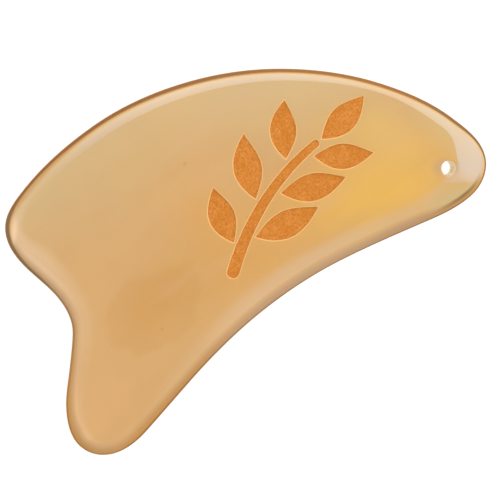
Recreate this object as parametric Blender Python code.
"""Gua sha scraper: a hand-held massage plate in translucent amber resin.

The plate lies flat on its back face. It has a long convex back edge, a rounded
nose with a cord hole, a concave scraping edge, a small lobe at the bottom and
a rounded heel at the far end. Its rim is rounded on both faces, most widely
round the nose and along the scraping edge. A leaf sprig is engraved in the
front face, and each recess holds its own thin fill of orange enamel.

Built in metres, +Z up. The nose is at +X, the convex back edge at +Y and the
front face at +Z. The back face is at Z = 0, and the origin is the middle of
the bounding box in X and Y.
"""

import math
from typing import NamedTuple

import bmesh
import bpy

MM = 0.001

# All dimensions below are in millimetres and degrees.

# --------------------------------------------------------- plate dimensions

THICKNESS = 5.6  # between the two flat faces
RIM_BANDS = 5  # facets from a flat face round to the middle of the edge
POINT_SPACING = 1.25  # longest step between outline points, roughly
POINT_TURN = 8.0  # largest turn between outline points, roughly
SHARP_ANGLE = 35.0  # edges that turn more than this are shaded sharp

# The outline's knots, clockwise from the heel, seen from the front.
OUTLINE_KNOTS = [
    # x, y, direction of travel, width of the rounded rim
    (-51.0, 7.4, 90.0, 3.2),  # heel tip
    (-47.54, 14.75, 52.0, 3.0),  # heel shoulder
    (-32.35, 28.62, 34.5, 3.1),  # back edge, rising
    (-13.76, 37.26, 16.5, 2.8),
    (6.6, 40.25, 0.0, 2.5),  # crest
    (27.76, 37.26, -17.0, 2.5),  # back edge, falling
    (43.31, 30.07, -36.0, 3.5),  # nose shoulder
    (49.36, 24.77, -54.0, 6.5),
    (51.0, 20.1, -90.0, 6.6),  # nose tip
    (47.65, 13.35, -139.0, 6.0),  # nose underside
    (36.05, 7.22, -157.5, 5.0),  # scraping edge, start
    (18.48, -0.54, -153.5, 5.0),
    (2.33, -10.81, -142.0, 5.0),
    (-12.87, -25.24, -132.0, 4.6),  # scraping edge, end
    (-22.0, -35.41, -132.5, 4.0),  # lobe shoulder
    (-30.8, -40.25, -179.0, 3.8),  # lobe bottom
    (-37.3, -36.47, -242.0, 3.6),  # lobe side
    (-38.74, -30.2, -267.5, 3.4),  # lobe neck
    (-37.97, -22.0, -276.5, 3.2),
    (-37.3, -14.6, -271.5, 3.2),  # waist
    (-39.97, -7.57, -233.0, 3.4),
    (-45.75, -1.84, -223.0, 3.4),  # heel underside
]

# Cord hole, through the nose.
HOLE_X = 42.15
HOLE_Y = 19.4
HOLE_DIAMETER = 3.2
HOLE_CHAMFER = 0.3
HOLE_SIDES = 32

CUTTER_OVERRUN = 0.5  # how far the cutters run on past a face they open

# ----------------------------------------------------- engraving dimensions

# Depths down from the front face. A fill is clear of the recess floor.
POCKET_DEPTH = 0.95
FILL_DEPTH = 0.30  # down to the enamel's upper surface
FILL_THICKNESS = 0.35
SIDE_GAP = 0.32  # how much a recess is wider than its fill, on each side
END_GAP = 0.80  # how much it is longer, beyond each end of a leaf

# The stem follows a quadratic Bezier curve and tapers from start to end.
STEM_START = (-4.0, -2.1)
STEM_GUIDE = (1.0, 14.6)  # control point, off the curve
STEM_END = (13.4, 24.6)
STEM_WIDE = 1.9
STEM_NARROW = 0.9
STEM_STEPS = 14
CAP_STEPS = 6  # facets round each end of the stem

LEAF_STEPS = 12  # facets along each edge of a leaf
LEAF_BLUNT = 0.95  # below 1 puts a leaf's widest point nearer its base
LEAF_STAND_OFF = 3.4  # from the stem's centre line to a side leaf's base
TIP_STAND_OFF = 2.5  # from the stem's end to the end leaf's base


class Leaf(NamedTuple):
    name: str
    along: float  # place on the stem, 0 at its start and 1 at its end
    side: int  # +1 left of the stem's travel, -1 right, 0 the end leaf
    angle: float  # from the stem's heading to the leaf's
    length: float
    width: float  # sets the greatest width
    bend: float  # how far the midrib turns along its length


LEAVES = [
    # name, along, side, angle, length, width, bend
    Leaf("enamel_leaf_1", 0.12, +1, 48.0, 10.5, 4.8, 14.0),
    Leaf("enamel_leaf_2", 0.20, -1, 48.0, 13.0, 5.0, 12.0),
    Leaf("enamel_leaf_3", 0.42, +1, 48.0, 12.0, 5.2, 14.0),
    Leaf("enamel_leaf_4", 0.54, -1, 48.0, 12.5, 5.0, 12.0),
    Leaf("enamel_leaf_5", 0.74, +1, 50.0, 10.5, 4.8, 14.0),
    Leaf("enamel_leaf_6", 0.88, -1, 46.0, 11.0, 4.6, 12.0),
    Leaf("enamel_leaf_7", 1.00, 0, 0.0, 11.0, 4.8, 12.0),
]


# ------------------------------------------------------------ plate outline


def knot_curve(start, start_heading, end, end_heading, t):
    """A point on the cubic Bezier curve between two knots.

    The handle length is the one that follows a circular arc when the two
    headings are symmetric about the chord.
    """
    turn = math.radians(end_heading - start_heading)
    handle = math.dist(start, end) / (3.0 * math.cos(turn / 4.0) ** 2)
    leave, arrive = math.radians(start_heading), math.radians(end_heading)
    control_1 = (start[0] + handle * math.cos(leave), start[1] + handle * math.sin(leave))
    control_2 = (end[0] - handle * math.cos(arrive), end[1] - handle * math.sin(arrive))
    s = 1.0 - t
    return tuple(
        s**3 * a + 3 * s * s * t * b + 3 * s * t * t * c + t**3 * d
        for a, b, c, d in zip(start, control_1, control_2, end)
    )


def smooth(t):
    """Ease from 0 to 1, level at both ends."""
    return t * t * (3.0 - 2.0 * t)


def plate_outline():
    """(x, y, rim width) for each outline point, clockwise."""
    first_x, first_y, first_heading, first_rim = OUTLINE_KNOTS[0]
    # The headings run on through one full clockwise turn.
    closing_knot = (first_x, first_y, first_heading - 360.0, first_rim)
    next_knots = OUTLINE_KNOTS[1:] + [closing_knot]

    points = []
    for knot, next_knot in zip(OUTLINE_KNOTS, next_knots):
        start, (heading, rim) = knot[:2], knot[2:]
        end, (next_heading, next_rim) = next_knot[:2], next_knot[2:]
        steps_by_length = math.dist(start, end) / POINT_SPACING
        steps_by_turn = abs(next_heading - heading) / POINT_TURN
        steps = max(2, math.ceil(max(steps_by_length, steps_by_turn)))
        for j in range(steps):
            t = j / steps
            x, y = knot_curve(start, heading, end, next_heading, t)
            points.append((x, y, rim + (next_rim - rim) * smooth(t)))
    return points


def inward_normals(points):
    """Unit normals that point into a clockwise outline."""
    normals = []
    for i in range(len(points)):
        before_x, before_y = points[i - 1][:2]
        after_x, after_y = points[(i + 1) % len(points)][:2]
        length = math.dist((before_x, before_y), (after_x, after_y))
        normals.append(((after_y - before_y) / length, -(after_x - before_x) / length))
    return normals


# ------------------------------------------------------------------- solids


def loft(rings):
    """A closed solid through rings of (x, y, z) points in millimetres."""
    bm = bmesh.new()
    vert_rings = [
        [bm.verts.new((x * MM, y * MM, z * MM)) for x, y, z in ring] for ring in rings
    ]
    for lower, upper in zip(vert_rings, vert_rings[1:]):
        for i in range(len(lower)):
            k = (i + 1) % len(lower)
            bm.faces.new((lower[i], lower[k], upper[k], upper[i]))
    bm.faces.new(vert_rings[0])
    bm.faces.new(vert_rings[-1])
    bmesh.ops.recalc_face_normals(bm, faces=bm.faces[:])
    return bm


def plate_solid():
    """The rounded plate: the rim is a half ellipse stepped in from the outline."""
    outline = plate_outline()
    normals = inward_normals(outline)
    half = THICKNESS / 2.0
    rings = []
    for band in range(-RIM_BANDS, RIM_BANDS + 1):
        angle = math.radians(90.0 * band / RIM_BANDS)
        step_in = 1.0 - math.cos(angle)
        z = half + half * math.sin(angle)
        rings.append([
            (x + normal_x * rim * step_in, y + normal_y * rim * step_in, z)
            for (x, y, rim), (normal_x, normal_y) in zip(outline, normals)
        ])
    return loft(rings)


def prism(outline, z_low, z_high):
    """A straight-sided solid over a closed outline."""
    return loft([[(x, y, z) for x, y in outline] for z in (z_low, z_high)])


def hole_cutter_solid():
    """A spool: the bore, opening at 45 degrees through each face."""
    bore = HOLE_DIAMETER / 2.0
    flare = bore + HOLE_CHAMFER + CUTTER_OVERRUN
    profile = [
        # radius, z
        (flare, -CUTTER_OVERRUN),
        (bore, HOLE_CHAMFER),
        (bore, THICKNESS - HOLE_CHAMFER),
        (flare, THICKNESS + CUTTER_OVERRUN),
    ]
    angles = [2 * math.pi * i / HOLE_SIDES for i in range(HOLE_SIDES)]
    return loft(
        [[(radius * math.cos(a), radius * math.sin(a), z) for a in angles] for radius, z in profile]
    )


# --------------------------------------------------------------- leaf sprig


def stem_point(t):
    s = 1.0 - t
    return tuple(
        s * s * start + 2 * s * t * guide + t * t * end
        for start, guide, end in zip(STEM_START, STEM_GUIDE, STEM_END)
    )


def stem_heading(t):
    """The stem's direction of travel, in radians."""
    dx, dy = (
        2 * (1 - t) * (guide - start) + 2 * t * (end - guide)
        for start, guide, end in zip(STEM_START, STEM_GUIDE, STEM_END)
    )
    return math.atan2(dy, dx)


def stem_side_point(t, angle, grow):
    """A point half the stem's width from its centre line, angle off its heading."""
    x, y = stem_point(t)
    radius = (STEM_WIDE + (STEM_NARROW - STEM_WIDE) * t) / 2.0 + grow
    direction = stem_heading(t) + angle
    return x + radius * math.cos(direction), y + radius * math.sin(direction)


def stem_outline(grow):
    """A tapered stroke along the stem, with rounded ends."""

    def edge(angle):
        return [stem_side_point(j / STEM_STEPS, angle, grow) for j in range(STEM_STEPS + 1)]

    def cap(t, from_angle):
        return [
            stem_side_point(t, from_angle - math.pi * k / CAP_STEPS, grow)
            for k in range(1, CAP_STEPS)
        ]

    quarter = math.pi / 2.0
    return edge(quarter) + cap(1.0, quarter) + edge(-quarter)[::-1] + cap(0.0, -quarter)


def leaf_outline(leaf, grow, extend):
    """A pointed leaf about an arc, wider by grow a side and longer by extend an end."""
    start = stem_heading(leaf.along) + math.radians(leaf.side * leaf.angle)
    stand_off = LEAF_STAND_OFF if leaf.side else TIP_STAND_OFF
    stem_x, stem_y = stem_point(leaf.along)
    base_x = stem_x + stand_off * math.cos(start)
    base_y = stem_y + stand_off * math.sin(start)
    # Side leaves bend back towards the stem's heading, the end leaf to its left.
    turn = math.radians(-leaf.side * leaf.bend if leaf.side else leaf.bend)
    radius = leaf.length / turn

    left, right = [], []
    for j in range(LEAF_STEPS + 1):
        v = j / LEAF_STEPS
        distance = -extend + (leaf.length + 2.0 * extend) * v
        heading = start + distance / radius
        x = base_x + radius * (math.sin(heading) - math.sin(start))
        y = base_y - radius * (math.cos(heading) - math.cos(start))
        half = 0.0 if j in (0, LEAF_STEPS) else math.sin(math.pi * v**LEAF_BLUNT)
        half *= leaf.width / 2.0 + grow
        left.append((x - half * math.sin(heading), y + half * math.cos(heading)))
        right.append((x + half * math.sin(heading), y - half * math.cos(heading)))
    # Both edges share the two tips, so the way back leaves them out.
    return left + right[-2:0:-1]


# ---------------------------------------------------------------- materials


def make_material(name, colour, roughness, coat):
    material = bpy.data.materials.new(name)
    material.use_nodes = True
    shader = material.node_tree.nodes["Principled BSDF"]
    shader.inputs["Base Color"].default_value = (*colour, 1.0)
    shader.inputs["Roughness"].default_value = roughness
    shader.inputs["Metallic"].default_value = 0.0
    shader.inputs["Coat Weight"].default_value = coat
    material.diffuse_color = (*colour, 1.0)
    return material


def amber_resin():
    return make_material("amber_resin", colour=(0.70, 0.46, 0.21), roughness=0.12, coat=0.6)


def orange_enamel():
    return make_material("orange_enamel", colour=(0.70, 0.28, 0.06), roughness=0.55, coat=0.0)


# ------------------------------------------------------------------ objects


def add_object(name, bm, parent, material=None):
    """Turn a solid into a smooth-shaded object. Frees the bmesh."""
    mesh = bpy.data.meshes.new(name)
    bm.to_mesh(mesh)
    bm.free()
    mesh.shade_smooth()
    mesh.set_sharp_from_angle(angle=math.radians(SHARP_ANGLE))
    if material is not None:
        mesh.materials.append(material)
    obj = bpy.data.objects.new(name, mesh)
    bpy.context.scene.collection.objects.link(obj)
    obj.parent = parent
    return obj


def cut(plate, name, bm, location=(0.0, 0.0, 0.0)):
    """Subtract a solid from the plate, keeping it as a hidden helper."""
    cutter = add_object(name, bm, plate.parent)
    cutter.location = location
    cutter.display_type = "WIRE"
    cutter.hide_render = True
    modifier = plate.modifiers.new(name, "BOOLEAN")
    modifier.operation = "DIFFERENCE"
    modifier.solver = "EXACT"
    modifier.object = cutter


def add_inlay(plate, name, recess, fill, material):
    """Cut a recess in the front face and add its enamel fill."""
    pocket = prism(recess, THICKNESS - POCKET_DEPTH, THICKNESS + CUTTER_OVERRUN)
    cut(plate, name + "_cutter", pocket)
    fill_top = THICKNESS - FILL_DEPTH
    add_object(name, prism(fill, fill_top - FILL_THICKNESS, fill_top), plate.parent, material)


def build():
    for obj in list(bpy.data.objects):
        bpy.data.objects.remove(obj, do_unlink=True)

    resin = amber_resin()
    enamel = orange_enamel()

    root = bpy.data.objects.new("scraper", None)
    bpy.context.scene.collection.objects.link(root)

    plate = add_object("scraper_plate", plate_solid(), root, resin)
    cut(plate, "cord_hole_cutter", hole_cutter_solid(), (HOLE_X * MM, HOLE_Y * MM, 0.0))

    add_inlay(plate, "enamel_stem", stem_outline(SIDE_GAP), stem_outline(0.0), enamel)
    for leaf in LEAVES:
        recess = leaf_outline(leaf, SIDE_GAP, END_GAP)
        fill = leaf_outline(leaf, 0.0, 0.0)
        add_inlay(plate, leaf.name, recess, fill, enamel)


build()
